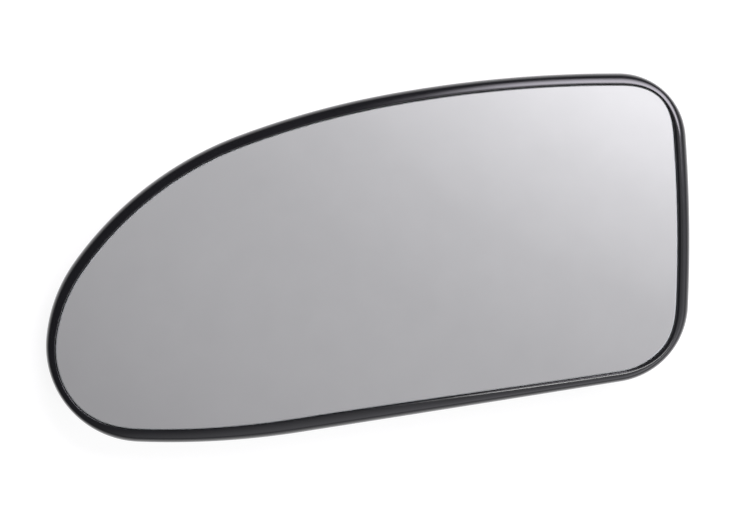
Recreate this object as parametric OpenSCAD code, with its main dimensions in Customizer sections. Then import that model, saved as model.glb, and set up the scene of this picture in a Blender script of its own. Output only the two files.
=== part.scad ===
// Car door mirror glass for the left-hand door: a convex glass bonded into a moulded carrier.
// It lies on its back. The front of the glass faces +Z, and X and Y run to the right and up as
// seen from the driver's side. The origin is on the clip ring's axis, at the ends of its fingers.

/* [Outline] */
// Overall width of the rim
mirror_w = 178; // [170:1:186]
// Overall height of the rim
mirror_h = 102; // [98:1:106]
// Distance from the clip ring's axis to the rim's right-hand edge
edge_right = 83.8; // [78:0.2:90]
// Distance from the clip ring's axis to the rim's top edge
edge_top = 52.4; // [49:0.2:56]
// Radius of the upper right corner
corner_top_r = 18.5; // [15:0.5:22]
// Radius of the top edge where it starts to fall to the left
sweep_r = 245; // [210:5:280]
// Radius of the rounded left-hand end
nose_r = 42; // [38:1:46]
// Radius of the lower left corner
heel_r = 26.5; // [23:0.5:30]
// Radius of the slack curve at the left of the bottom edge
belly_r = 235; // [200:5:270]
// Radius of the lower right corner
corner_low_r = 22; // [18:0.5:26]
// Way the rim faces where the side meets the upper right corner, in degrees from +X
side_top_dir = 4; // [3:0.5:5.5]
// Way the rim faces where the crown meets the falling top edge
sweep_dir = 100.5; // [98.5:0.5:102]
// Way the rim faces where the falling top edge meets the shoulder
shoulder_dir = 110.5; // [109:0.5:112.5]
// Way the rim faces where the shoulder meets the left-hand end
nose_dir = 144.5; // [142:0.5:147]
// Way the rim faces where the left-hand end meets the lower left corner
heel_dir = 175; // [172:0.5:178]
// Way the rim faces where the lower left corner meets the bottom curve
belly_dir = 268; // [266:0.5:269.5]
// Way the rim faces along the straight part of the bottom edge
bottom_dir = 279; // [277:0.5:281]
// Way the rim faces where the lower right corner meets the side
side_low_dir = 357.5; // [356.5:0.5:358.5]

/* [Glass] */
// Radius that the front of the glass is bent to
glass_r = 1260; // [1000:20:1600]
// Thickness of the glass
glass_t = 2; // [1.6:0.1:2.4]
// Thickness of the adhesive sheet behind the glass
pad_t = 0.6; // [0.4:0.1:1]
// Distance from the edge of the glass to the edge of the adhesive sheet
pad_margin = 4; // [2:0.5:8]
// Gap between the edge of the glass and the rim
edge_gap = 0.2; // [0.1:0.05:0.4]

/* [Rim] */
// Width of the bead that frames the glass, along the top
rim_w = 3.1; // [2.9:0.1:3.4]
// Width of the bead on both sides of the lower left corner
nose_w = 3.4; // [3.1:0.1:3.6]
// Width of the bead in the lower left corner
heel_w = 2.2; // [2:0.1:2.7]
// Width of the bead at the left of the bottom edge
belly_w = 3.7; // [3.3:0.1:3.9]
// Width of the bead in the lower right corner
corner_low_w = 2.5; // [2.1:0.1:2.9]
// Width of the bead along the right-hand side
side_w = 3.3; // [3:0.1:3.6]
// Width of the bead in the upper right corner
corner_top_w = 2; // [1.9:0.1:2.6]
// Height of the bead's crest above the glass
bead_rise = 1; // [0.6:0.1:1.4]
// Radius of the bead's inner edge, beside the glass
lip_r = 0.3; // [0.2:0.05:0.4]
// Slope of the bead's top beside the glass, in degrees
bead_lean = 8; // [5:1:12]
// Slope where the bead's top meets its outer rounding, in degrees
bead_turn = 28; // [24:1:34]
// Share of the bead's width that the outer rounding takes
round_share = 0.38; // [0.3:0.02:0.44]
// Depth of the skirt behind the backing wall
skirt_h = 3.4; // [3.2:0.1:4.2]
// Thickness of the skirt
skirt_t = 1.3; // [1.1:0.1:1.4]
// Distance that the skirt leans in at its free edge, so that it leaves the mould
skirt_draft = 0.4; // [0.2:0.05:0.45]

/* [Back] */
// Thickness of the backing wall
wall_t = 1.8; // [1.4:0.1:2.4]
// Height of the ribs behind the backing wall
rib_h = 3; // [2:0.1:3.1]
// Thickness of the ribs
rib_t = 1.2; // [0.9:0.1:1.6]
// Number of ribs that run out from the middle
rib_count = 16; // [8:2:20]
// Middle radius of the smallest round rib
hoop_r = 38; // [36:0.5:41]
// Distance from one round rib to the next
hoop_step = 18; // [14:1:20]
// Number of round ribs
hoop_count = 3; // [1:1:3]

/* [Clip ring] */
// Distance from the finger ends to the backing wall, on the axis
ring_h = 12; // [10:0.5:15]
// Radius between the hooks, where the clip plate of the tilt drive passes
hook_r = 29; // [27:0.5:30]
// Distance that the hooks stand in from the fingers
hook_depth = 1; // [0.6:0.1:1.2]
// Height of the hooks' lead-in slope
hook_lead = 0.6; // [0.4:0.1:0.9]
// Height of the hooks' straight inner face
hook_land = 1.2; // [0.8:0.1:1.8]
// Thickness of a finger at its end
finger_t = 1.6; // [1.2:0.1:2]
// Distance that a finger grows outward from its end to its root
finger_draft = 0.4; // [0.1:0.1:0.6]
// Number of fingers
finger_count = 12; // [8:1:14]
// Width of the slots between the fingers
slot_w = 3; // [2:0.25:3.25]
// Height of the closed band at the fingers' roots
band_h = 1.5; // [1:0.1:2.5]

/* [Hidden] */
$fn = 96;
dome_fn = 240;
top_dir = 90;
left_dir = 180;
under_dir = 270;
quarter = 90;
turn = 360;
// Longest chord and widest angle between two points of the outline
chord_max = 4.2;
turn_max = 6.5;
// Numbers of facets across the bead's outer rounding, its top and its inner edge
round_facets = 5;
top_facets = 3;
lip_facets = 3;
// Distance that cutting shapes run past what they cut
past = 1;
// Depths below the front of the glass
pad_top = glass_t;
wall_top = pad_top + pad_t;
wall_mid = wall_top + wall_t / 2;
wall_back = wall_top + wall_t;
rib_low = wall_back + rib_h;
skirt_low = wall_back + skirt_h;
front_z = ring_h + wall_back;
// Distances in from the rim's outer edge
skirt_inset = skirt_draft + skirt_t;
skirt_mid = skirt_draft + skirt_t / 2;

// Unit vector at an angle, and the way a point on the rim runs on when the rim faces that angle
function facing(a) = [cos(a), sin(a)];
function along(a) = [-sin(a), cos(a)];

// Step from the start to the end of an arc of radius 1 while the rim's facing turns from a to b
function bend(a, b) = facing(b) - facing(a);

// The two factors of vectors u and v that add up to vector w
function mix(u, v, w) =
    let (size = u.x * v.y - u.y * v.x)
    [(w.x * v.y - w.y * v.x) / size, (u.x * w.y - u.y * w.x) / size];

// The bottom straight and the side's radius follow from the overall width and height
low_known = nose_to_heel_x() + belly_r * (cos(bottom_dir) - cos(belly_dir))
    + corner_low_r * (cos(side_low_dir) - cos(bottom_dir));
right_known = belly_r * (sin(bottom_dir) - sin(under_dir))
    + corner_low_r * (sin(side_low_dir) - sin(bottom_dir))
    + corner_top_r * (sin(top_dir) - sin(side_top_dir));
closing_low = mix(
    along(bottom_dir),
    [1 - cos(side_low_dir), sin(side_top_dir) - sin(side_low_dir)],
    [mirror_w - low_known, mirror_h - right_known]);
bottom_len = closing_low[0];
side_r = closing_low[1];
function nose_to_heel_x() = heel_dir < left_dir
    ? heel_r * (cos(belly_dir) - cos(left_dir))
    : nose_r * (cos(heel_dir) - cos(left_dir)) + heel_r * (cos(belly_dir) - cos(heel_dir));

// The radii of the crown and the shoulder close the outline over the top
top_known = sweep_r * bend(sweep_dir, shoulder_dir) + nose_r * bend(nose_dir, heel_dir)
    + heel_r * bend(heel_dir, belly_dir) + belly_r * bend(belly_dir, bottom_dir)
    + bottom_len * along(bottom_dir) + corner_low_r * bend(bottom_dir, side_low_dir)
    + side_r * bend(side_low_dir, turn + side_top_dir) + corner_top_r * bend(side_top_dir, top_dir);
closing_top = mix(bend(top_dir, sweep_dir), bend(shoulder_dir, nose_dir), -top_known);
crown_r = closing_top[0];
shoulder_r = closing_top[1];

// Stretches of the outline, anticlockwise from the top: facing at start and end, radius, length
stretches = [
    [top_dir, sweep_dir, crown_r, 0],
    [sweep_dir, shoulder_dir, sweep_r, 0],
    [shoulder_dir, nose_dir, shoulder_r, 0],
    [nose_dir, heel_dir, nose_r, 0],
    [heel_dir, belly_dir, heel_r, 0],
    [belly_dir, bottom_dir, belly_r, 0],
    [bottom_dir, bottom_dir, 0, bottom_len],
    [bottom_dir, side_low_dir, corner_low_r, 0],
    [side_low_dir, turn + side_top_dir, side_r, 0],
    [turn + side_top_dir, turn + top_dir, corner_top_r, 0]
];

// Places of the stretches in that list, from the shoulder on
SHOULDER = 2;
NOSE = 3;
HEEL = 4;
BELLY = 5;
BOTTOM = 6;
CORNER_LOW = 7;
SIDE = 8;
CORNER_TOP = 9;

// Top point of the outline, where the crown starts
top_x = edge_right - corner_top_r * (1 - cos(top_dir)) - side_r * (1 - cos(side_top_dir))
    + corner_top_r * (1 - cos(side_top_dir));
top_point = [top_x, edge_top];

function step_of(s) = s[2] * bend(s[0], s[1]) + s[3] * along(s[0]);
function start_of(i) = i == 0 ? top_point : start_of(i - 1) + step_of(stretches[i - 1]);
function arc_len(s) = s[2] * (s[1] - s[0]) * PI / left_dir + s[3];
function parts_of(s) = max(ceil(arc_len(s) / chord_max), ceil((s[1] - s[0]) / turn_max));

// Length along the outline to the start and to the middle of a stretch
function run_to(i) = i == 0 ? 0 : run_to(i - 1) + arc_len(stretches[i - 1]);
function run_mid(i) = (run_to(i) + run_to(i + 1)) / 2;

// Widths of the bead along the outline, between which it changes gently. It is narrow in three
// corners, where the glass is cut to a tighter radius than the rim.
width_marks = [
    [0, rim_w],
    [run_to(SHOULDER), rim_w],
    [run_to(NOSE), nose_w],
    [run_mid(HEEL), heel_w],
    [run_to(BELLY), nose_w],
    [run_to(BOTTOM), belly_w],
    [run_mid(CORNER_LOW), corner_low_w],
    [run_to(SIDE), side_w],
    [run_to(CORNER_TOP), side_w],
    [run_mid(CORNER_TOP), corner_top_w],
    [run_to(CORNER_TOP + 1), rim_w]
];
function eased(t) = t * t * (3 - 2 * t);
function bead_width(run) = [
    for (k = [1 : len(width_marks) - 1])
    let (last = width_marks[k - 1], next = width_marks[k])
    if (run >= last[0] && run < next[0])
        last[1] + (next[1] - last[1]) * eased((run - last[0]) / (next[0] - last[0]))
][0];

// Stations round the rim: a point on its outer edge, the way it faces there, the bead's width
stations = [
    for (i = [0 : len(stretches) - 1])
    let (s = stretches[i], start = start_of(i), parts = parts_of(s))
    for (k = [0 : parts - 1])
    let (share = k / parts, a = s[0] + (s[1] - s[0]) * share)
    [
        start + s[2] * bend(s[0], a) + s[3] * share * along(s[0]),
        a,
        bead_width(run_to(i) + share * arc_len(s))
    ]
];

// The outline, moved in by a distance from the rim's outer edge or from the bead's inner edge
function outline(inset) = [for (s = stations) s[0] - inset * facing(s[1])];
function inner_outline(inset) = [for (s = stations) s[0] - (s[2] + inset) * facing(s[1])];

// Height of a point that lies a depth below the front of the glass, off the axis by r
function level(r, depth) = front_z - glass_r + sqrt(glass_r * glass_r - r * r) - depth;

// Section of the rim where the bead has a width: distance in from the outer edge, and height above
// the front of the glass. It runs up the skirt, over the outer rounding, up the sloping top, round
// the inner edge and back down. A slope of 0 is level, and a quarter turn is the side of the rim.
function rim_section(width) = let (
    lip_in = width - lip_r,
    top_in = lip_in - lip_r * sin(bead_lean),
    top_z = bead_rise - lip_r * (1 - cos(bead_lean)),
    round_in = round_share * width,
    top_r = (top_in - round_in) / (sin(bead_turn) - sin(bead_lean)),
    round_z = top_z - top_r * (cos(bead_lean) - cos(bead_turn)),
    round_r = round_in / (1 - sin(bead_turn))
) concat(
    [[skirt_draft, -skirt_low]],
    [for (k = [0 : round_facets])
        let (a = quarter + (bead_turn - quarter) * k / round_facets)
        [
            round_in - round_r * (sin(a) - sin(bead_turn)),
            round_z - round_r * (cos(bead_turn) - cos(a))
        ]],
    [for (k = [1 : top_facets])
        let (a = bead_turn + (bead_lean - bead_turn) * k / top_facets)
        [
            top_in - top_r * (sin(a) - sin(bead_lean)),
            top_z - top_r * (cos(bead_lean) - cos(a))
        ]],
    [for (k = [1 : lip_facets])
        let (a = bead_lean - (quarter + bead_lean) * k / lip_facets)
        [lip_in - lip_r * sin(a), bead_rise - lip_r * (1 - cos(a))]],
    [[width, -wall_mid], [skirt_inset, -wall_mid], [skirt_inset, -skirt_low]]
);

// Section of the clip ring: radius and height
finger_r = hook_r + hook_depth;
ring_top = level(finger_r, wall_mid);
ring_section = [
    [hook_r, hook_lead],
    [hook_r + hook_lead, 0],
    [finger_r + finger_t, 0],
    [finger_r + finger_t + finger_draft, ring_top],
    [finger_r, ring_top],
    [finger_r, hook_lead + hook_land + hook_depth],
    [hook_r, hook_lead + hook_land]
];
ring_out_r = finger_r + finger_t + finger_draft;
slot_top = level(ring_out_r, wall_back) - band_h;

// A sheet that follows the bend of the glass, between two depths below its front
module bent_sheet(from_depth, to_depth) {
    intersection() {
        linear_extrude(height = front_z + past) children();
        translate([0, 0, front_z - glass_r]) difference() {
            sphere(r = glass_r - from_depth, $fn = dome_fn);
            sphere(r = glass_r - to_depth, $fn = dome_fn);
        }
    }
}

// The rim's section swept round all stations, each point at its own height on the bend
module swept_rim() {
    n = len(stations);
    m = len(rim_section(rim_w));
    points = [
        for (s = stations)
        for (q = rim_section(s[2]))
        let (p = s[0] - q[0] * facing(s[1]))
        [p.x, p.y, level(norm(p), 0) + q[1]]
    ];
    faces = [
        for (i = [0 : n - 1], j = [0 : m - 1])
        let (
            here = i * m, next = (i + 1) % n * m, up = (j + 1) % m,
            a = here + j, b = next + j, c = next + up, d = here + up
        )
        each [[a, c, b], [a, d, c]]
    ];
    polyhedron(points = points, faces = faces, convexity = 6);
}

// Round ribs, and straight ribs that run out from the smallest of them
module rib_lines() {
    difference() {
        intersection() {
            polygon(outline(skirt_mid));
            union() {
                for (k = [0 : hoop_count - 1]) round_rib(hoop_r + k * hoop_step);
                for (k = [0 : rib_count - 1]) rotate(k * turn / rib_count)
                    translate([hoop_r, -rib_t / 2]) square([mirror_w, rib_t]);
            }
        }
        circle(r = hoop_r - rib_t / 2);
    }
}

module round_rib(r) {
    difference() {
        circle(r = r + rib_t / 2);
        circle(r = r - rib_t / 2);
    }
}

// Ring of hooked fingers that snaps over the clip plate of the tilt drive
module clip_ring() {
    difference() {
        rotate_extrude() polygon(ring_section);
        for (k = [0 : finger_count - 1]) rotate((k + 0.5) * turn / finger_count)
            translate([hook_r - past, -slot_w / 2, -past])
                cube([ring_out_r - hook_r + 2 * past, slot_w, slot_top + past]);
    }
}

module mirror_glass() {
    color([0.76, 0.77, 0.79])
        bent_sheet(0, glass_t) polygon(inner_outline(edge_gap));
}

module adhesive_pad() {
    color([0.3, 0.3, 0.31])
        bent_sheet(pad_top, wall_top) polygon(inner_outline(edge_gap + pad_margin));
}

module carrier_plate() {
    color([0.09, 0.09, 0.1]) union() {
        swept_rim();
        bent_sheet(wall_top, wall_back) polygon(outline(skirt_mid));
        bent_sheet(wall_mid, rib_low) rib_lines();
        clip_ring();
    }
}

mirror_glass();
adhesive_pad();
carrier_plate();
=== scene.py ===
# %% [markdown]
# # A glass for a car's door mirror
# The object is a slightly domed mirror glass, stuck into a black moulded carrier. The carrier frames
# the glass with a rounded rim, and on its back it has ribs and a ring of snap fingers that clips on
# the drive which tilts the glass. In the picture it lies on its back on a white table, and the
# camera looks straight down on it.
#
# The CAD model gives every size. Blender gives the looks: finer roundings, the ground edge of the
# glass, the finishes and the light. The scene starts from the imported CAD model, so that each new
# piece can be put exactly where its CAD solid is.

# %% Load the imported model
import math
import bmesh
import bpy
import numpy as np
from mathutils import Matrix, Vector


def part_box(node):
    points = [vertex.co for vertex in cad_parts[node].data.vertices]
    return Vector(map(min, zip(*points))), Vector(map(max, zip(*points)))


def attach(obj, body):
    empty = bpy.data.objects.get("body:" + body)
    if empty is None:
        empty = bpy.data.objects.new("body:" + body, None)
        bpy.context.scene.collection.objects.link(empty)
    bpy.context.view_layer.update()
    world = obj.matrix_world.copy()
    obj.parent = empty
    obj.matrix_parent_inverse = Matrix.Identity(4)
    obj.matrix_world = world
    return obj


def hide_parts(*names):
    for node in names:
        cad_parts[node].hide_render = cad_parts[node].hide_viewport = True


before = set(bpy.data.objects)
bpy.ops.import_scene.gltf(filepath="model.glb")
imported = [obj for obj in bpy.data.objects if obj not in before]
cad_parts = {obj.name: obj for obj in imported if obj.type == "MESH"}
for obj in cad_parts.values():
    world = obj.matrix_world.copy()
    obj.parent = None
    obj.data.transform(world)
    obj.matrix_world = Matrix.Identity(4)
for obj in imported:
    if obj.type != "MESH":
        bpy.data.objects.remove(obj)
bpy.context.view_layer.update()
MM = 0.001

# %% [markdown]
# ## The outline
# Seen from the front, the rim is a closed chain of arcs, each tangent to the next, with one straight
# along the bottom. Such a chain is written down best by the way the rim faces, in degrees from +X:
# an arc of radius r that turns the facing from a to b moves the point by r times the difference of
# the two facing vectors. Four lengths in the chain aren't free. They follow from the width, the
# height and the rule that the chain ends where it began, and two small equation systems give them.
# A spline through measured points would be quicker to draw, but its curvature would wobble, and a
# glossy rim shows every wobble.

# %% Outline of the rim
rim_low, rim_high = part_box("carrier_plate")
rim_size = rim_high - rim_low

SWEEP_R, NOSE_R, HEEL_R, BELLY_R = 245 * MM, 42 * MM, 26.5 * MM, 235 * MM
CORNER_LOW_R, CORNER_TOP_R = 22 * MM, 18.5 * MM
# The way the rim faces where each stretch begins, in degrees, anticlockwise from 90 at the top. The
# leftmost point faces 180, the lowest 270 and the rightmost 360.
SWEEP_AT, SHOULDER_AT, NOSE_AT, HEEL_AT, BELLY_AT = 100.5, 110.5, 144.5, 175, 268
BOTTOM_AT, SIDE_AT, CORNER_TOP_AT = 279, 357.5, 364


def facing(degrees):
    """Unit vector of the way the rim faces."""
    angle = np.radians(degrees)
    return np.array([np.cos(angle), np.sin(angle)])


def along(degrees):
    """The way a point runs on, anticlockwise, where the rim faces that way."""
    return facing(degrees + 90)


def bend(start, end):
    """Step along an arc of radius 1 while the facing turns from start to end."""
    return facing(end) - facing(start)


def factors(u, v, target):
    """The two factors of the vectors u and v that add up to the target."""
    return np.linalg.solve(np.column_stack([u, v]), target)


lower_left = HEEL_R * bend(180, BELLY_AT)[0] + BELLY_R * bend(BELLY_AT, BOTTOM_AT)[0]
lower_width = rim_size.x - lower_left - CORNER_LOW_R * bend(BOTTOM_AT, SIDE_AT)[0]
right_low = BELLY_R * bend(270, BOTTOM_AT)[1] + CORNER_LOW_R * bend(BOTTOM_AT, SIDE_AT)[1]
corner_top = CORNER_TOP_R * bend(CORNER_TOP_AT - 360, 90)
right_height = rim_size.y - right_low - corner_top[1]
bottom_len, side_r = factors(
    along(BOTTOM_AT), [bend(SIDE_AT, 360)[0], bend(SIDE_AT, CORNER_TOP_AT)[1]],
    [lower_width, right_height]
)

round_trip = (
    SWEEP_R * bend(SWEEP_AT, SHOULDER_AT) + NOSE_R * bend(NOSE_AT, HEEL_AT)
    + HEEL_R * bend(HEEL_AT, BELLY_AT) + BELLY_R * bend(BELLY_AT, BOTTOM_AT)
    + bottom_len * along(BOTTOM_AT) + CORNER_LOW_R * bend(BOTTOM_AT, SIDE_AT)
    + side_r * bend(SIDE_AT, CORNER_TOP_AT) + corner_top
)
crown_r, shoulder_r = factors(bend(90, SWEEP_AT), bend(SHOULDER_AT, NOSE_AT), -round_trip)

# Facing at the start and the end, radius, and length of a straight, anticlockwise from the top
stretches = [
    (90, SWEEP_AT, crown_r, 0),
    (SWEEP_AT, SHOULDER_AT, SWEEP_R, 0),
    (SHOULDER_AT, NOSE_AT, shoulder_r, 0),
    (NOSE_AT, HEEL_AT, NOSE_R, 0),
    (HEEL_AT, BELLY_AT, HEEL_R, 0),
    (BELLY_AT, BOTTOM_AT, BELLY_R, 0),
    (BOTTOM_AT, BOTTOM_AT, 0, bottom_len),
    (BOTTOM_AT, SIDE_AT, CORNER_LOW_R, 0),
    (SIDE_AT, CORNER_TOP_AT, side_r, 0),
    (CORNER_TOP_AT, 450, CORNER_TOP_R, 0),
]
STATION_STEP = 1.1 * MM
top_x = rim_high.x + side_r * bend(0, CORNER_TOP_AT - 360)[0] + corner_top[0]
place = np.array([top_x, rim_high.y])
stations, facings, runs, starts = [], [], [], [0]
for start, end, radius, straight in stretches:
    length = radius * math.radians(end - start) + straight
    count = math.ceil(length / STATION_STEP)
    for k in range(count):
        turned = start + (end - start) * k / count
        step = radius * bend(start, turned) + straight * k / count * along(start)
        stations.append(place + step)
        facings.append(facing(turned))
        runs.append(starts[-1] + length * k / count)
    place = place + radius * bend(start, end) + straight * along(start)
    starts.append(starts[-1] + length)
stations, facings = np.array(stations), np.array(facings)
print("crown, shoulder, side radius and bottom straight in mm:",
      [round(v / MM, 1) for v in (crown_r, shoulder_r, side_r, bottom_len)])
print("stations:", len(stations), " gap where the outline closes, in mm:",
      round(float(np.hypot(*(place - stations[0]))) / MM, 5))

# %% [markdown]
# ## How wide the black rim is
# The bead that frames the glass isn't equally wide all round. The glass is cut with tighter corners
# than the carrier has, so the black band gets narrow in three corners and wide along the left. The
# widths are given at a few marks on the outline, and between two marks they change gently, with no
# slope at either mark, so that the edge of the glass shows no kink.

# %% Width of the bead
# Places of the stretches in the list, from the shoulder on
SHOULDER, NOSE, HEEL, BELLY, BOTTOM, CORNER_LOW, SIDE, CORNER_TOP = range(2, 10)


def halfway(stretch):
    """Length along the outline to the middle of a stretch."""
    return (starts[stretch] + starts[stretch + 1]) / 2


def eased(marks):
    """A value for each station from marks of length and value, level at each mark."""
    values = np.empty(len(runs))
    for (run, value), (next_run, next_value) in zip(marks, marks[1:]):
        for k, here in enumerate(runs):
            if run <= here < next_run:
                share = (here - run) / (next_run - run)
                values[k] = value + (next_value - value) * share**2 * (3 - 2 * share)
    return values


bead_widths = MM * eased([
    (0, 3.1), (starts[SHOULDER], 3.1), (starts[NOSE], 3.4), (halfway(HEEL), 2.2),
    (starts[BELLY], 3.4), (starts[BOTTOM], 3.7), (halfway(CORNER_LOW), 2.5),
    (starts[SIDE], 3.3), (starts[CORNER_TOP], 3.3), (halfway(CORNER_TOP), 2), (starts[-1], 3.1),
])
print("length of the outline in mm:", round(starts[-1] / MM, 1),
      " narrowest and widest bead:", round(bead_widths.min() / MM, 2), round(bead_widths.max() / MM, 2))

# %% [markdown]
# ## Skins that follow the outline
# The glass and the carrier are both made of walls that follow the outline, and everything in them
# lies on the same large sphere that the glass is bent to. By hand one would start with a circle,
# extrude its edges, scale and move the new loop, and go on from loop to loop. This is done here,
# with one difference: each new loop isn't scaled by eye but set at a distance in from the outline
# and at a depth below the front of the glass. Both can be one number or a list with a number for
# each station. Every vertex carries the number of its station, so that it knows its place in each
# loop. At the end the two open ends are closed, which makes a solid. Its four-sided faces aren't
# quite flat, so they are split into triangles, which a Boolean cuts without folds.

# %% Loop by loop
GLASS_R = 1260 * MM
WALL_TOP, WALL_BACK, RING_H = 2.6 * MM, 4.4 * MM, 12 * MM
FRONT_Z = RING_H + WALL_BACK
# Size of the circle that a skin starts from. It shows nowhere, as the first loop moves every vertex.
FIRST_R = 80 * MM


def level(radius, depth):
    """Height of a point off the axis by radius, at a depth below the front of the glass."""
    return FRONT_Z - GLASS_R + np.sqrt(GLASS_R**2 - radius**2) - depth


def loop_places(inset, depth, share):
    """The outline moved in by inset and then drawn towards the axis to a share of its size."""
    flat = (stations - np.reshape(inset, (-1, 1)) * facings) * share
    return np.column_stack([flat, level(np.hypot(flat[:, 0], flat[:, 1]), depth)])


def skin(name, rows):
    """A solid from loops, each given by inset, depth, share and the finish of the band before it."""
    bpy.ops.object.select_all(action="DESELECT")
    bpy.ops.mesh.primitive_circle_add(vertices=len(stations), radius=FIRST_R)
    piece = bpy.context.object
    piece.name = piece.data.name = name
    bpy.ops.object.mode_set(mode="EDIT")
    mesh = bmesh.from_edit_mesh(piece.data)
    number = mesh.verts.layers.int.new("station")
    for corner in mesh.verts:
        corner[number] = corner.index
    for row, (inset, depth, share, finish) in enumerate(rows):
        faces_before = len(mesh.faces)
        if row:
            bpy.ops.mesh.extrude_edges_move()
            mesh = bmesh.from_edit_mesh(piece.data)
            number = mesh.verts.layers.int["station"]
        places = loop_places(inset, depth, share)
        for corner in mesh.verts:
            if corner.select:
                corner.co = places[corner[number]]
        mesh.faces.ensure_lookup_table()
        for face in mesh.faces[faces_before:]:
            face.material_index = finish
    bpy.ops.mesh.select_all(action="SELECT")
    bpy.ops.mesh.fill_holes(sides=0)
    mesh = bmesh.from_edit_mesh(piece.data)
    for face in mesh.faces:
        face.select = len(face.verts) > 4
        if face.select:
            in_front = face.calc_center_median().z > level(0, (rows[0][1] + rows[-1][1]) / 2)
            face.material_index = rows[0 if in_front else -1][3]
    bpy.ops.mesh.poke()
    bpy.ops.mesh.select_all(action="SELECT")
    bpy.ops.mesh.quads_convert_to_tris()
    bpy.ops.mesh.normals_make_consistent(inside=False)
    bpy.ops.object.mode_set(mode="OBJECT")
    print(name, "loops:", len(rows), " faces:", len(piece.data.polygons))
    return piece


# %% [markdown]
# ## The glass
# The glass is 2 mm thick, and its front carries the mirror coat. The edge is ground: a wheel takes
# off the sharp corner and leaves a thin frosted bevel, which catches the light as a fine bright line
# all round. A bevel modifier could make it, but as the loops are set one by one anyway, the bevel is
# one more loop. The loops stand close to each other near the edge, because the shading of a mirror
# shows it at once when the faces there are large.

# %% Mirror glass
EDGE_GAP, GLASS_T = 0.2 * MM, 2 * MM
GROUND_W = 0.3 * MM
COAT, GROUND, PAINT = range(3)

glass_edge = bead_widths + EDGE_GAP
coat_edge = glass_edge + GROUND_W
shares = [0.03, 0.08, 0.15, 0.23, 0.31, 0.39, 0.47, 0.55, 0.63, 0.7, 0.77, 0.83, 0.88,
          0.92, 0.955, 0.98]
glass = skin("ground_mirror_glass", [
    *[(coat_edge, 0, share, COAT) for share in shares],
    (coat_edge, 0, 1, COAT),
    (glass_edge, GROUND_W, 1, GROUND),
    (glass_edge, GLASS_T - GROUND_W / 2, 1, GROUND),
    (glass_edge + GROUND_W / 2, GLASS_T, 1, GROUND),
    *[(glass_edge + GROUND_W / 2, GLASS_T, share, PAINT) for share in reversed(shares)],
])

# %% [markdown]
# ## The carrier: rim, wall and skirt
# The carrier is one moulding of black plastic. Its rim is a bead. It rises beside the glass, turns
# over in a rounded lip, slopes gently outwards along its top and rounds over into the side wall. The
# top catches the lamp, and the rounding shades off slowly. The lip is tight along the left, and at
# the right it is so wide that it shows as a dark band beside the glass. The rounding ends in a short
# steep flare, which mirrors the white table as a grey outer edge.
#
# Under the glass lies the backing wall, and behind it a thin skirt runs round the edge. The section
# is one closed line of arcs and straights, so the same loops make it: over the wall, up beside the
# glass, over the bead, down the skirt, round its free edge and back to the middle behind the wall.
# Each arc is written by the slope of the surface, from level at 0 to upright at 90 degrees, because
# slopes are what the highlights show.

# %% Rim, wall and skirt
BEAD_RISE = 0.98 * MM
# Slope where the top goes over into the rounding, share of the bead that the rounding and the flare
# take, and the flare's slope and width
TURN, ROUND_SHARE, FLARE, FLARE_W = 28, 0.38, 72, 0.35 * MM
FLARE_END = 0.12 * MM
# Radius of the lip, and slope of the top beside it, in degrees
lip_r = MM * eased([
    (0, 0.2), (starts[NOSE], 0.1), (starts[BOTTOM], 0.1), (starts[CORNER_LOW], 0.25),
    (halfway(CORNER_LOW), 0.85), (starts[CORNER_TOP], 0.9), (halfway(CORNER_TOP), 0.1),
    (starts[-1], 0.2),
])
lean = eased([
    (0, 8), (starts[BOTTOM], 8), (starts[CORNER_LOW], 1), (halfway(CORNER_LOW), 4),
    (starts[SIDE], 8), (starts[-1], 8),
])
SKIRT_H, SKIRT_T, SKIRT_DRAFT = 3.4 * MM, 1.3 * MM, 0.4 * MM
EDGE_ROUND, ROOT_ROUND = 0.25 * MM, 0.5 * MM


def arc_rows(inset, height, radius, start, end, steps):
    """Loops along an arc of the section, from one slope to another, past a point at slope start."""
    from_cos, from_sin = facing(start)
    slopes = [facing(start + (end - start) * k / steps) for k in range(1, steps + 1)]
    return [(inset - radius * (s - from_sin), radius * (from_cos - c) - height, 1) for c, s in slopes]


lean_cos, lean_sin = facing(lean)
turn_cos, turn_sin = facing(TURN)
flare_cos, flare_sin = facing(FLARE)
top_in = bead_widths - lip_r * (1 + lean_sin)
top_z = BEAD_RISE - lip_r * (1 - lean_cos)
round_in = ROUND_SHARE * bead_widths
top_r = (top_in - round_in) / (turn_sin - lean_sin)
round_z = top_z - top_r * (lean_cos - turn_cos)
round_r = (round_in - FLARE_W) / (flare_sin - turn_sin)
side_depth = round_r * (turn_cos - flare_cos) - round_z + FLARE_W * flare_sin / flare_cos
skirt_low = WALL_BACK + SKIRT_H
skirt_in = SKIRT_DRAFT + SKIRT_T

wall_shares = [0.03, 0.15, 0.3, 0.45, 0.6, 0.75, 0.9, 1]
section = [(bead_widths, WALL_TOP, share) for share in wall_shares]
section += [(bead_widths, 1 * MM, 1), (bead_widths, lip_r - BEAD_RISE, 1)]
section += arc_rows(bead_widths, BEAD_RISE - lip_r, lip_r, -90, lean, 8)
section += arc_rows(top_in, top_z, top_r, lean, TURN, 6)
section += arc_rows(round_in, round_z, round_r, TURN, FLARE, 8)
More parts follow.
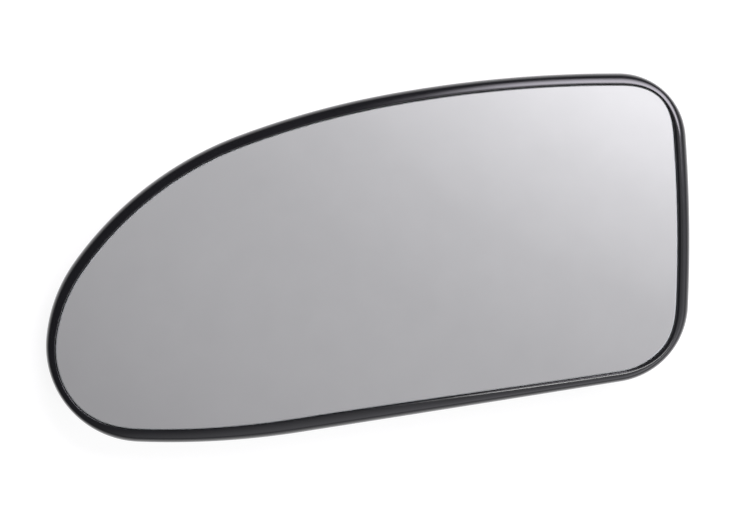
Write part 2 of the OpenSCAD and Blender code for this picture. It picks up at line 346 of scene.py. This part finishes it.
# The flare ends in two short steps that take it over into the upright side
section += [(FLARE_END, side_depth - FLARE_END * flare_sin / flare_cos, 1)]
section += [(0.03 * MM, side_depth - 0.04 * MM, 1), (0, side_depth + 0.2 * MM, 1)]
section += [(SKIRT_DRAFT * part, side_depth + (skirt_low - EDGE_ROUND - side_depth) * part, 1)
            for part in (0.35, 0.7, 1)]
section += arc_rows(SKIRT_DRAFT, EDGE_ROUND - skirt_low, EDGE_ROUND, 90, 180, 3)
section += [(skirt_in - EDGE_ROUND, skirt_low, 1)]
section += arc_rows(skirt_in - EDGE_ROUND, -skirt_low, EDGE_ROUND, 180, 270, 3)
section += [(skirt_in, WALL_BACK + ROOT_ROUND, 1)]
section += arc_rows(skirt_in, -WALL_BACK - ROOT_ROUND, ROOT_ROUND, 90, 0, 4)
section += [(skirt_in + ROOT_ROUND, WALL_BACK, share) for share in reversed(wall_shares[:-1])]
carrier = skin("moulded_carrier", [(*row, 0) for row in section])

# %% [markdown]
# ## The ribs
# Behind the wall the moulding is stiffened by round ribs and by straight ones that run out from the
# clip ring like spokes. They follow the bend of the wall on both sides. Tall tubes and bars are
# simple to make, and a copy of the wall's own bend, made with the same loops as above, cuts them to
# height and to the outline in one step. At last their free edges are bevelled, because no moulded
# edge is quite sharp, and on black plastic that bevel is nearly all one sees of a rib.

# %% Ribs
RIB_H, RIB_T, RIB_COUNT = 3 * MM, 1.2 * MM, 16
HOOP_R, HOOP_STEP, HOOP_COUNT = 38 * MM, 18 * MM, 3
TALL, BAR_LEN = 30 * MM, 70 * MM
RIB_EDGE = 0.2 * MM


def pick(piece):
    """Selects one piece and nothing else, and makes it the active one."""
    bpy.ops.object.select_all(action="DESELECT")
    piece.select_set(True)
    bpy.context.view_layer.objects.active = piece


def apply_modifier(piece, kind, **settings):
    """Adds a modifier with its settings and applies it."""
    pick(piece)
    modifier = piece.modifiers.new(kind, kind)
    for name, value in settings.items():
        setattr(modifier, name, value)
    bpy.ops.object.modifier_apply(modifier=modifier.name)


def cut_or_join(piece, other, operation):
    """Boolean with another piece, which is used up. Both have to be closed solids."""
    apply_modifier(piece, "BOOLEAN", object=other, operation=operation, solver="MANIFOLD")
    bpy.data.objects.remove(other)


def joined(pieces, name):
    """Several pieces as one, with their places applied."""
    bpy.ops.object.select_all(action="DESELECT")
    for piece in pieces:
        piece.select_set(True)
    bpy.context.view_layer.objects.active = pieces[0]
    bpy.ops.object.transform_apply(location=True, rotation=True, scale=True)
    if len(pieces) > 1:
        bpy.ops.object.join()
    pieces[0].name = pieces[0].data.name = name
    return pieces[0]


def turned_copies(piece, count):
    """Repeats a mesh round the axis, in its own mesh."""
    pick(piece)
    bpy.ops.object.mode_set(mode="EDIT")
    bpy.ops.mesh.select_all(action="SELECT")
    for _ in range(count - 1):
        bpy.ops.mesh.duplicate()
        bpy.ops.transform.rotate(
            value=2 * math.pi / count, orient_axis="Z", center_override=(0, 0, 0)
        )
    bpy.ops.object.mode_set(mode="OBJECT")


tubes = []
for k in range(HOOP_COUNT):
    bpy.ops.object.select_all(action="DESELECT")
    bpy.ops.mesh.primitive_cylinder_add(
        vertices=180, radius=HOOP_R + k * HOOP_STEP, depth=TALL, end_fill_type="NOTHING"
    )
    apply_modifier(bpy.context.object, "SOLIDIFY", thickness=RIB_T, offset=0)
    tubes.append(bpy.context.object)
ribs = joined(tubes, "ribs")
bpy.ops.object.select_all(action="DESELECT")
bpy.ops.mesh.primitive_cube_add(size=1, location=(HOOP_R + BAR_LEN / 2, 0, 0))
bpy.ops.transform.resize(value=(BAR_LEN, RIB_T, TALL))
bars = joined([bpy.context.object], "bars")
turned_copies(bars, RIB_COUNT)
cut_or_join(ribs, bars, "UNION")

wall_mid = (WALL_TOP + WALL_BACK) / 2
rib_low = WALL_BACK + RIB_H
skirt_mid = SKIRT_DRAFT + SKIRT_T / 2
slab_rows = [(skirt_mid, wall_mid, share, 0) for share in wall_shares]
slab_rows += [(skirt_mid, rib_low, share, 0) for share in reversed(wall_shares)]
cut_or_join(ribs, skin("bent_slab", slab_rows), "INTERSECT")

bpy.ops.object.mode_set(mode="EDIT")
bpy.ops.mesh.select_mode(type="EDGE")
mesh = bmesh.from_edit_mesh(ribs.data)
# A free edge is where a face that looks straight back meets one that stands upright
for edge in mesh.edges:
    ups = sorted(face.normal.z for face in edge.link_faces)
    edge.select_set(len(ups) == 2 and ups[0] < -0.9 and abs(ups[1]) < 0.3)
mesh.select_flush_mode()
bpy.ops.mesh.bevel(offset=RIB_EDGE, segments=2, affect="EDGES")
bpy.ops.object.mode_set(mode="OBJECT")
print("ribs, faces:", len(ribs.data.polygons))

# %% [markdown]
# ## The clip ring
# Twelve fingers stand in a ring on the back, with a small hook inside the end of each. The glass is
# pushed on its drive until the hooks snap behind a round plate. All fingers are alike, so one is
# made and copied. Its section is a flat polygon that is spun through the width of a finger, and a
# bevel modifier then breaks all its sharp edges. A closed band joins the fingers at their roots.
#
# The spin runs clockwise, seen from the front, while the start angle below is written for one that
# runs anticlockwise. So the fingers stand 5.7 degrees away from those of the CAD model, which is
# about the width of a slot.

# %% Clip ring
HOOK_R, HOOK_DEPTH, HOOK_LEAD, HOOK_LAND = 29 * MM, 1 * MM, 0.6 * MM, 1.2 * MM
FINGER_T, FINGER_DRAFT, FINGER_COUNT, SLOT_W, BAND_H = 1.6 * MM, 0.4 * MM, 12, 3 * MM, 1.5 * MM
FINGER_EDGE = 0.2 * MM

finger_in = HOOK_R + HOOK_DEPTH
finger_out = finger_in + FINGER_T
ring_top = float(level(finger_in, wall_mid))
slot_top = float(level(finger_out + FINGER_DRAFT, WALL_BACK)) - BAND_H
band_out = finger_out + FINGER_DRAFT * slot_top / ring_top


def spun(name, outline, start_deg, sweep_deg, steps):
    """Spins a flat outline of radius and height round the axis, clockwise, into a solid."""
    bpy.ops.object.select_all(action="DESELECT")
    bpy.ops.mesh.primitive_circle_add(vertices=len(outline), radius=HOOK_R)
    piece = bpy.context.object
    piece.name = piece.data.name = name
    bpy.ops.object.mode_set(mode="EDIT")
    mesh = bmesh.from_edit_mesh(piece.data)
    begin = facing(start_deg)
    mesh.verts.ensure_lookup_table()
    for corner, (radius, height) in zip(mesh.verts, outline):
        corner.co = (radius * begin[0], radius * begin[1], height)
    if sweep_deg < 360:
        bpy.ops.mesh.edge_face_add()
    bpy.ops.mesh.spin(steps=steps, angle=math.radians(sweep_deg), center=(0, 0, 0), axis=(0, 0, 1))
    bpy.ops.mesh.select_all(action="SELECT")
    bpy.ops.mesh.remove_doubles(threshold=0.001 * MM)
    bpy.ops.mesh.normals_make_consistent(inside=False)
    bpy.ops.object.mode_set(mode="OBJECT")
    return piece


finger_sweep = 360 / FINGER_COUNT - 2 * math.degrees(math.asin(SLOT_W / 2 / finger_in))
finger = spun("fingers", [
    (HOOK_R, HOOK_LEAD),
    (HOOK_R + HOOK_LEAD, 0),
    (finger_out, 0),
    (finger_out + FINGER_DRAFT, ring_top),
    (finger_in, ring_top),
    (finger_in, HOOK_LEAD + HOOK_LAND + HOOK_DEPTH),
    (HOOK_R, HOOK_LEAD + HOOK_LAND),
], -finger_sweep / 2, finger_sweep, 12)
apply_modifier(finger, "BEVEL", width=FINGER_EDGE, segments=2, limit_method="ANGLE",
               angle_limit=math.radians(30))
turned_copies(finger, FINGER_COUNT)
band = spun("band", [
    (finger_in, slot_top),
    (band_out, slot_top),
    (finger_out + FINGER_DRAFT, ring_top),
    (finger_in, ring_top),
], 0, 360, 180)
print("fingers:", FINGER_COUNT, " width of one in degrees:", round(finger_sweep, 2))

# %% [markdown]
# ## One moulding
# Ribs, fingers and band come out of the same mould as the rim, so they are made one solid with it.
# Laid into each other they would look much the same from far off, but the walls would run on inside
# each other, and the lines where they meet would flicker. The cuts leave some slivers along the roots
# of the ribs. Smooth shading would run through them from the wall up the side of a rib and leave a
# dark wedge, so their edges are marked sharp.

# %% Join the back to the rim
for part in (ribs, band, finger):
    cut_or_join(carrier, part, "UNION")
SLIVER_W, SMOOTH_BELOW = 0.01 * MM, 35
for piece in (glass, carrier):
    pick(piece)
    bpy.ops.object.shade_smooth_by_angle(angle=math.radians(SMOOTH_BELOW))
    check = bmesh.new()
    check.from_mesh(piece.data)
    for face in check.faces:
        if 2 * face.calc_area() < SLIVER_W * max(edge.calc_length() for edge in face.edges):
            for edge in face.edges:
                edge.smooth = False
    check.to_mesh(piece.data)
    open_edges = sum(not edge.is_manifold for edge in check.edges)
    print(piece.name, "faces:", len(check.faces), " open edges:", open_edges,
          " volume in mm3:", round(check.calc_volume() / MM**3))
    check.free()

# %% [markdown]
# ## Finishes
# Each finish starts from the real one: what it is and how its surface came about. Colours are given
# as sRGB hex values, as a colour picker shows them, and one function turns them to the linear values
# that the shader works with. Patterns read Object coordinates, which are metres here, so that their
# scale can be worked out from a size in millimetres.

# %% Helpers for finishes
def linear(code):
    """The linear colour of an sRGB hex value."""
    parts = [int(code[k:k + 2], 16) / 255 for k in (1, 3, 5)]
    return [p / 12.92 if p <= 0.04045 else ((p + 0.055) / 1.055) ** 2.4 for p in parts] + [1]


def add_node(tree, kind, links=None, **settings):
    """Adds a node, makes its settings, and links or sets its sockets."""
    made = tree.nodes.new(kind)
    for name, value in settings.items():
        setattr(made, name, value)
    for socket, source in (links or {}).items():
        if isinstance(source, bpy.types.NodeSocket):
            tree.links.new(source, made.inputs[socket])
        else:
            made.inputs[socket].default_value = source
    return made


def new_finish(name):
    """An empty material with its node tree, the coordinates and its output."""
    finish = bpy.data.materials.new(name)
    finish.use_nodes = True
    tree = finish.node_tree
    tree.nodes.clear()
    place = add_node(tree, "ShaderNodeTexCoord").outputs["Object"]
    output = add_node(tree, "ShaderNodeOutputMaterial")
    return finish, tree, place, output


# Places of the colour sockets on a Mix node that mixes colours
COLOUR_A, COLOUR_B, COLOUR_OUT = 6, 7, 2

# %% [markdown]
# ### Mirror coat
# The mirror is a film of chromium and silver, put on the polished glass in a vacuum. It is a metal to
# the eye: nearly all the light comes back, a little cooler than it went in. Float glass isn't
# perfectly even, and bending it adds a slow ripple, so the reflection gets a very shallow bump a few
# centimetres long. A thin haze of handling dust makes the roughness vary.

# %% Mirror coat
mirror_coat, tree, place, output = new_finish("vacuum-coated mirror glass")
haze = add_node(tree, "ShaderNodeTexNoise", {
    "Vector": place, "Scale": 1 / (9 * MM), "Detail": 4
}).outputs["Fac"]
ripple = add_node(tree, "ShaderNodeTexNoise", {
    "Vector": place, "Scale": 1 / (45 * MM), "Detail": 1
}).outputs["Fac"]
shader = add_node(tree, "ShaderNodeBsdfPrincipled", {
    "Base Color": add_node(tree, "ShaderNodeMix", {
        0: haze, COLOUR_A: linear("#e5e4e8"), COLOUR_B: linear("#ebeaee")
    }, data_type="RGBA").outputs[COLOUR_OUT],
    "Metallic": 1,
    "Roughness": add_node(tree, "ShaderNodeMapRange", {
        "Value": haze, "From Min": 0.3, "From Max": 0.7, "To Min": 0.02, "To Max": 0.045
    }).outputs["Result"],
    "Normal": add_node(tree, "ShaderNodeBump", {
        "Height": ripple, "Strength": 0.5, "Distance": 0.004 * MM
    }).outputs["Normal"],
})
tree.links.new(shader.outputs["BSDF"], output.inputs["Surface"])

# %% [markdown]
# ### Ground and painted glass
# The edge of the glass is frosted by the grinding wheel: thousands of tiny chips scatter the light,
# so it looks pale grey-green and nearly matt. The back of the glass has a coat of grey protective
# paint, sprayed on, which dries with a slight orange peel.

# %% Ground glass
ground_glass, tree, place, output = new_finish("wheel-ground glass edge")
chips = add_node(tree, "ShaderNodeTexNoise", {
    "Vector": place, "Scale": 1 / (0.3 * MM), "Detail": 5
}).outputs["Fac"]
shader = add_node(tree, "ShaderNodeBsdfPrincipled", {
    "Base Color": add_node(tree, "ShaderNodeMix", {
        0: chips, COLOUR_A: linear("#8f9695"), COLOUR_B: linear("#eef2f1")
    }, data_type="RGBA").outputs[COLOUR_OUT],
    "Roughness": add_node(tree, "ShaderNodeMapRange", {
        "Value": chips, "From Min": 0.3, "From Max": 0.7, "To Min": 0.35, "To Max": 0.55
    }).outputs["Result"],
    "IOR": 1.52,
    "Normal": add_node(tree, "ShaderNodeBump", {
        "Height": chips, "Strength": 0.6, "Distance": 0.02 * MM
    }).outputs["Normal"],
})
tree.links.new(shader.outputs["BSDF"], output.inputs["Surface"])

# %% Paint on the back of the glass
back_paint, tree, place, output = new_finish("grey protective mirror paint")
orange_peel = add_node(tree, "ShaderNodeTexNoise", {
    "Vector": place, "Scale": 1 / (1.2 * MM), "Detail": 2
}).outputs["Fac"]
shader = add_node(tree, "ShaderNodeBsdfPrincipled", {
    "Base Color": add_node(tree, "ShaderNodeMix", {
        0: orange_peel, COLOUR_A: linear("#575b5f"), COLOUR_B: linear("#686c70")
    }, data_type="RGBA").outputs[COLOUR_OUT],
    "Roughness": add_node(tree, "ShaderNodeMapRange", {
        "Value": orange_peel, "From Min": 0.3, "From Max": 0.7, "To Min": 0.45, "To Max": 0.6
    }).outputs["Result"],
    "Normal": add_node(tree, "ShaderNodeBump", {
        "Height": orange_peel, "Strength": 0.4, "Distance": 0.02 * MM
    }).outputs["Normal"],
})
tree.links.new(shader.outputs["BSDF"], output.inputs["Surface"])

# %% [markdown]
# ### Moulded ABS
# The carrier is black ABS. Where the mould was polished the surface is satin and shows soft
# highlights; a fine grain from the mould's own machining breaks them up. The grain of the real part
# is about 0.1 mm. That is finer than a pixel of the picture, so it is drawn at 0.35 mm.

# %% Moulded ABS
moulded_abs, tree, place, output = new_finish("moulded black ABS")
flow = add_node(tree, "ShaderNodeTexNoise", {
    "Vector": place, "Scale": 1 / (14 * MM), "Detail": 3
}).outputs["Fac"]
grain = add_node(tree, "ShaderNodeTexNoise", {
    "Vector": place, "Scale": 1 / (0.35 * MM), "Detail": 4
}).outputs["Fac"]
shader = add_node(tree, "ShaderNodeBsdfPrincipled", {
    "Base Color": add_node(tree, "ShaderNodeMix", {
        0: flow, COLOUR_A: linear("#0c0c0e"), COLOUR_B: linear("#151518")
    }, data_type="RGBA").outputs[COLOUR_OUT],
    "Roughness": add_node(tree, "ShaderNodeMapRange", {
        "Value": flow, "From Min": 0.3, "From Max": 0.7, "To Min": 0.12, "To Max": 0.18
    }).outputs["Result"],
    "IOR": 1.57,
    "Normal": add_node(tree, "ShaderNodeBump", {
        "Height": grain, "Strength": 0.35, "Distance": 0.012 * MM
    }).outputs["Normal"],
})
tree.links.new(shader.outputs["BSDF"], output.inputs["Surface"])

# %% [markdown]
# ### Acrylic foam
# The glass is held by a sheet of acrylic foam tape, 0.6 mm thick: dark grey and matt, with closed
# cells that show as fine pits where it was cut. It hardly shows in the finished object, so the CAD
# solid stays and only gets this finish.

# %% Acrylic foam
acrylic_foam, tree, place, output = new_finish("acrylic foam tape")
cells = add_node(tree, "ShaderNodeTexVoronoi", {
    "Vector": place, "Scale": 1 / (0.4 * MM)
}).outputs["Distance"]
shader = add_node(tree, "ShaderNodeBsdfPrincipled", {
    "Base Color": add_node(tree, "ShaderNodeMix", {
        0: cells, COLOUR_A: linear("#29292b"), COLOUR_B: linear("#3e3f42")
    }, data_type="RGBA").outputs[COLOUR_OUT],
    "Roughness": add_node(tree, "ShaderNodeMapRange", {
        "Value": cells, "From Min": 0, "From Max": 0.8, "To Min": 0.75, "To Max": 0.9
    }).outputs["Result"],
    "Normal": add_node(tree, "ShaderNodeBump", {
        "Height": cells, "Strength": 0.5, "Distance": 0.08 * MM
    }).outputs["Normal"],
})
tree.links.new(shader.outputs["BSDF"], output.inputs["Surface"])

# %% [markdown]
# ## Pieces on their bodies
# The object is one body. The new glass and the new carrier stand for their CAD solids, which stay in
# the model for collision, and the foam keeps its CAD solid.

# %% Give the pieces their finishes and their body
for finish in (mirror_coat, ground_glass, back_paint):
    glass.data.materials.append(finish)
carrier.data.materials.clear()
carrier.data.materials.append(moulded_abs)
for piece, node, slot in (
    (glass, "mirror_glass", "mirror_coated_glass"),
    (carrier, "carrier_plate", "black_moulding"),
):
    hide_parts(node)
    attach(piece, "root")
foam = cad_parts["adhesive_pad"]
foam.data.materials.clear()
foam.data.materials.append(acrylic_foam)

# %% [markdown]
# ## Table, card and light
# The table is white and the picture is exposed so that it burns out to the white of the page. More
# light would do that, but it would wash out the black rim too, so the table shows a white of its
# own to the camera and to reflections and keeps a little of the object's shadow.
#
# A mirror shows what is in front of it. Here that is a large card above the camera. No lamp lights it:
# it glows, and a slow shade from white to grey is painted into its glow, a painted shade that stands
# in for a card lit from one side. That painted shade is all that the glass shows. The shade is drawn
# on the card by its own coordinates. A point of the glass sees the point of the card that lies about
# seven times as far from the middle, because the glass is domed.

# %% Table
TABLE_SIZE, TABLE_DROP = 8, 0.02 * MM
bpy.ops.object.select_all(action="DESELECT")
bpy.ops.mesh.primitive_plane_add(size=TABLE_SIZE)
table = bpy.context.object
table.name = "table"
bpy.ops.transform.translate(value=(0, 0, -TABLE_DROP))
white_table, tree, place, output = new_finish("white table")
path = add_node(tree, "ShaderNodeLightPath").outputs
seen = add_node(tree, "ShaderNodeMath", {
    0: path["Is Camera Ray"], 1: path["Is Glossy Ray"]
}, operation="MAXIMUM").outputs[0]
seen = add_node(tree, "ShaderNodeMath", {
    0: seen, 1: path["Is Transmission Ray"]
}, operation="MAXIMUM").outputs[0]
lit = add_node(tree, "ShaderNodeBsdfDiffuse", {"Color": linear("#e8e8e8")}).outputs[0]
page = add_node(tree, "ShaderNodeEmission", {"Color": (1, 1, 1, 1), "Strength": 0.86}).outputs[0]
shadow = add_node(tree, "ShaderNodeBsdfDiffuse", {"Color": (0.2, 0.2, 0.2, 1)}).outputs[0]
shown = add_node(tree, "ShaderNodeAddShader", {0: page, 1: shadow}).outputs[0]
mixed = add_node(tree, "ShaderNodeMixShader", {0: seen, 1: lit, 2: shown}).outputs[0]
# From below, and for light on its way through, the table isn't there
below = add_node(tree, "ShaderNodeNewGeometry").outputs["Backfacing"]
open_to = add_node(tree, "ShaderNodeMath", {
    0: below, 1: path["Is Shadow Ray"]
}, operation="MAXIMUM").outputs[0]
clear = add_node(tree, "ShaderNodeBsdfTransparent").outputs[0]
one_way = add_node(tree, "ShaderNodeMixShader", {0: open_to, 1: mixed, 2: clear}).outputs[0]
tree.links.new(one_way, output.inputs["Surface"])

# %% Card
CARD_Z, CARD_SIZE = 2.2, (1.6, 1, 1)
bpy.ops.object.select_all(action="DESELECT")
bpy.ops.mesh.primitive_plane_add(size=1, location=(0, 0, CARD_Z), rotation=(math.pi, 0, 0))
card = bpy.context.object
card.name = "card_with_painted_shade"
bpy.ops.transform.resize(value=CARD_SIZE)
bpy.ops.object.transform_apply(location=True, rotation=True, scale=True)
card.visible_camera = False
card_with_painted_shade, tree, place, output = new_finish("card glowing with a painted shade")
# Direction of the painted shade in degrees, bow of its lines per metre, and where it starts and ends
SHADE_TURN, SHADE_BOW = 55.6, 0.313
SHADE_START, SHADE_END = -0.5865, 0.5368
turned = add_node(tree, "ShaderNodeMapping", {
    "Vector": place, "Rotation": (0, 0, -math.radians(SHADE_TURN))
}).outputs["Vector"]
axes = add_node(tree, "ShaderNodeSeparateXYZ", {"Vector": turned}).outputs
bow = add_node(tree, "ShaderNodeMath", {
    0: axes["Y"], 1: axes["Y"]
}, operation="MULTIPLY").outputs[0]
bow = add_node(tree, "ShaderNodeMath", {
    0: bow, 1: -SHADE_BOW, 2: axes["X"]
}, operation="MULTIPLY_ADD").outputs[0]
along_shade = add_node(tree, "ShaderNodeMapRange", {
    "Value": bow, "From Min": SHADE_START, "From Max": SHADE_END
}).outputs["Result"]
# Brightness of the card's glow along its painted shade, from the grey end to the white end
steps = [0.388, 0.445, 0.491, 0.534, 0.628, 0.813, 1.067]
ramp = add_node(tree, "ShaderNodeValToRGB", {"Fac": along_shade})
while len(ramp.color_ramp.elements) < len(steps):
    ramp.color_ramp.elements.new(0.5)
for k, value in enumerate(steps):
    element = ramp.color_ramp.elements[k]
    element.position = k / (len(steps) - 1)
    element.color = (value, value, value, 1)
glow = add_node(tree, "ShaderNodeEmission", {"Color": ramp.outputs["Color"], "Strength": 1})
tree.links.new(glow.outputs[0], output.inputs["Surface"])
table.data.materials.append(white_table)
card.data.materials.append(card_with_painted_shade)

# %% [markdown]
# The lamp is a large diffusing panel that hangs to the upper right, just outside what the glass
# reflects. It makes the bright line along the top of the rim. The line fades in and out softly, so
# the panel can't be evenly bright: it fades towards its edges, as a diffuser does when the lamp
# stands behind its middle. An area lamp is always even, so the panel is a plane that glows.

# %% Key panel
LAMP_Z = 1.4
PANEL_PLACE, PANEL_SIZE = (1.01, 1.35, LAMP_Z), (2.28, 2.1, 1)
bpy.ops.object.select_all(action="DESELECT")
bpy.ops.mesh.primitive_plane_add(size=1, location=PANEL_PLACE, rotation=(math.pi, 0, 0))
key_panel = bpy.context.object
key_panel.name = "key_panel"
bpy.ops.transform.resize(value=PANEL_SIZE)
bpy.ops.object.transform_apply(location=True, rotation=True, scale=True)
key_panel.visible_camera = False
diffuser, tree, place, output = new_finish("lit diffuser cloth")
axes = add_node(tree, "ShaderNodeSeparateXYZ", {"Vector": place}).outputs
slant = add_node(tree, "ShaderNodeMath", {
    0: axes["X"], 1: 0.5, 2: axes["Y"]
}, operation="MULTIPLY_ADD").outputs[0]
# Each fade runs along one direction, from the place where it is dark to the one where it is full
FADES = [
    (axes["X"], -0.13, 0.25),
    (axes["X"], 2.1, 1.3),
    (slant, 0.55, 1.08),
    (axes["Y"], 2.35, 0.75),
]
lit_share = 1
for run, dark, full in FADES:
    fade = add_node(tree, "ShaderNodeMapRange", {
        "Value": run, "From Min": dark, "From Max": full
    }, interpolation_type="SMOOTHSTEP").outputs["Result"]
    lit_share = add_node(tree, "ShaderNodeMath", {
        0: lit_share, 1: fade
    }, operation="MULTIPLY").outputs[0]
tint = add_node(tree, "ShaderNodeValToRGB", {"Fac": lit_share})
tint.color_ramp.elements[1].color = linear("#f9f4ff")
cloth = add_node(tree, "ShaderNodeEmission", {"Color": tint.outputs["Color"], "Strength": 12})
tree.links.new(cloth.outputs[0], output.inputs["Surface"])
key_panel.data.materials.append(diffuser)

# %% [markdown]
# The left side gets no lamp, so the rim stays nearly black there. A narrow lamp stands beside the
# lower right corner of what the glass reflects, and makes the thin bright line between the glass and
# the rim. A soft lamp lies under the table, which lets its light through, so that the ribs can be
# seen from below. The world fills in with grey that is dark at the left and lighter to the lower
# right. Near the horizon, where the glass mirrors it when it is seen from the side, the room is a
# more even grey.

# %% Lamps and world
def softbox(name, place, tilt, size, power):
    """A rectangular lamp in metres. Without a tilt, in degrees, it looks straight down."""
    bpy.ops.object.light_add(type="AREA", location=place, rotation=[math.radians(t) for t in tilt])
    lamp = bpy.context.object
    lamp.name = lamp.data.name = name
    lamp.data.shape = "RECTANGLE"
    lamp.data.size, lamp.data.size_y = size
    lamp.data.energy = power


softbox("line_softbox", place=(0.43, -0.375, LAMP_Z), tilt=(0, 0, 12), size=(0.56, 0.18), power=4)
softbox("under_softbox", place=(0.81, 0.875, -LAMP_Z), tilt=(180, 0, 0), size=(1.68, 1.15), power=60)

# Greys of the room from its dark side to its light side, and the way its light side lies
ROOM_SHADES = [(0.42, "#38383a"), (0.52, "#464648"), (0.62, "#565658"), (0.74, "#8e8e91"),
               (0.82, "#a9a8ad"), (0.91, "#f7f6fc")]
LIGHT_SIDE = (0.74, -0.67, 0)
world = bpy.data.worlds.new("studio")
bpy.context.scene.world = world
world.use_nodes = True
tree = world.node_tree
tree.nodes.clear()
direction = add_node(tree, "ShaderNodeTexCoord").outputs["Generated"]
towards = add_node(tree, "ShaderNodeVectorMath", {
    0: direction, 1: LIGHT_SIDE
}, operation="DOT_PRODUCT").outputs["Value"]
room = add_node(tree, "ShaderNodeValToRGB", {"Fac": add_node(tree, "ShaderNodeMapRange", {
    "Value": towards, "From Min": -1, "From Max": 1
}).outputs["Result"]})
while len(room.color_ramp.elements) < len(ROOM_SHADES):
    room.color_ramp.elements.new(0.5)
for k, (at, code) in enumerate(ROOM_SHADES):
    room.color_ramp.elements[k].position = at
    room.color_ramp.elements[k].color = linear(code)
up = add_node(tree, "ShaderNodeSeparateXYZ", {"Vector": direction}).outputs["Z"]
sky = add_node(tree, "ShaderNodeBackground", {
    "Color": add_node(tree, "ShaderNodeMix", {
        0: add_node(tree, "ShaderNodeMapRange", {
            "Value": up, "From Min": 0.42, "From Max": 0.15, "To Min": 0, "To Max": 0.6
        }).outputs["Result"],
        COLOUR_A: room.outputs["Color"],
        COLOUR_B: linear("#bcbcbf"),
    }, data_type="RGBA").outputs[COLOUR_OUT],
    "Strength": add_node(tree, "ShaderNodeMapRange", {
        "Value": up, "From Min": 0.3, "From Max": 0.5, "To Min": 0.9, "To Max": 2.7
    }).outputs["Result"],
})
tree.links.new(sky.outputs[0], add_node(tree, "ShaderNodeOutputWorld").inputs["Surface"])

# %% [markdown]
# ## Camera
# The picture was taken from straight above. The sides of the rim show equally all round, so the lens
# was long: 150 mm on a 36 mm sensor, a good arm's length away. The axis of the lens goes through the
# middle of the picture, which is 5.9 mm left of the clip ring's axis and 2.6 mm above it.

# %% Camera
bpy.ops.object.select_all(action="DESELECT")
RIM_PLANE, CAMERA_AWAY = 13.5 * MM, 0.8393
CAMERA_PLACE = (-5.91 * MM, 2.59 * MM, RIM_PLANE + CAMERA_AWAY)
bpy.ops.object.camera_add(location=CAMERA_PLACE, rotation=(0, 0, 0))
camera = bpy.context.object
camera.data.lens, camera.data.sensor_width = 150, 36
bpy.context.scene.camera = camera
bpy.context.scene.view_settings.view_transform = "Standard"
